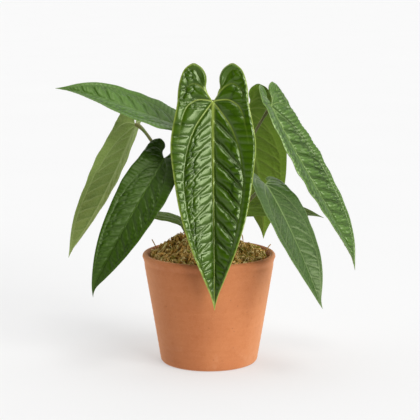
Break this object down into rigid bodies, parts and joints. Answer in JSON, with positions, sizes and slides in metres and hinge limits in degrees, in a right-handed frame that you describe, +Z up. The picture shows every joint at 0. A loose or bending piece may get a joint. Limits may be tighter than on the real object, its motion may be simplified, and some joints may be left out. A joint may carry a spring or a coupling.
{
  "type": "potted anthurium alfaroi",
  "caption": "Foliage house plant with long heart-based, deeply veined leaves on thin stalks, standing in moss in a plain tapered clay pot.",
  "frame": {"origin": "where the pot's axis meets the surface the pot stands on", "axes": "+Z up, -Y towards the viewer, where the longest leaf hangs down the front, +X to the viewer's right"},
  "size_m": [0.3123, 0.2026, 0.3171],
  "materials": {
    "clay": "matt fired clay",
    "potting_mix": "matt",
    "moss": "dry and fibrous",
    "stem": "matt",
    "leaf_glossy": "glossy",
    "leaf_satin": "satin",
    "leaf_dark": "satin",
    "leaf_underside": "matt",
    "stalk": "satin"
  },
  "bodies": {
    "root": {"pot": "clay", "potting_mix": "potting_mix", "moss": "moss", "stem": "stem", "leaf_front": "leaf_glossy", "leaf_left_high": "leaf_satin", "leaf_left_back": "leaf_underside", "leaf_left_front": "leaf_dark", "leaf_back": "leaf_underside", "leaf_right_high": "leaf_satin", "leaf_right_front": "leaf_satin", "leaf_left_low": "leaf_dark", "leaf_right_low": "leaf_dark", "stalk_front": "stalk", "stalk_left_high": "stalk", "stalk_left_back": "stalk", "stalk_left_front": "stalk", "stalk_back": "stalk", "stalk_right_high": "stalk", "stalk_right_front": "stalk", "stalk_left_low": "stalk", "stalk_right_low": "stalk"}
  },
  "joints": []
}
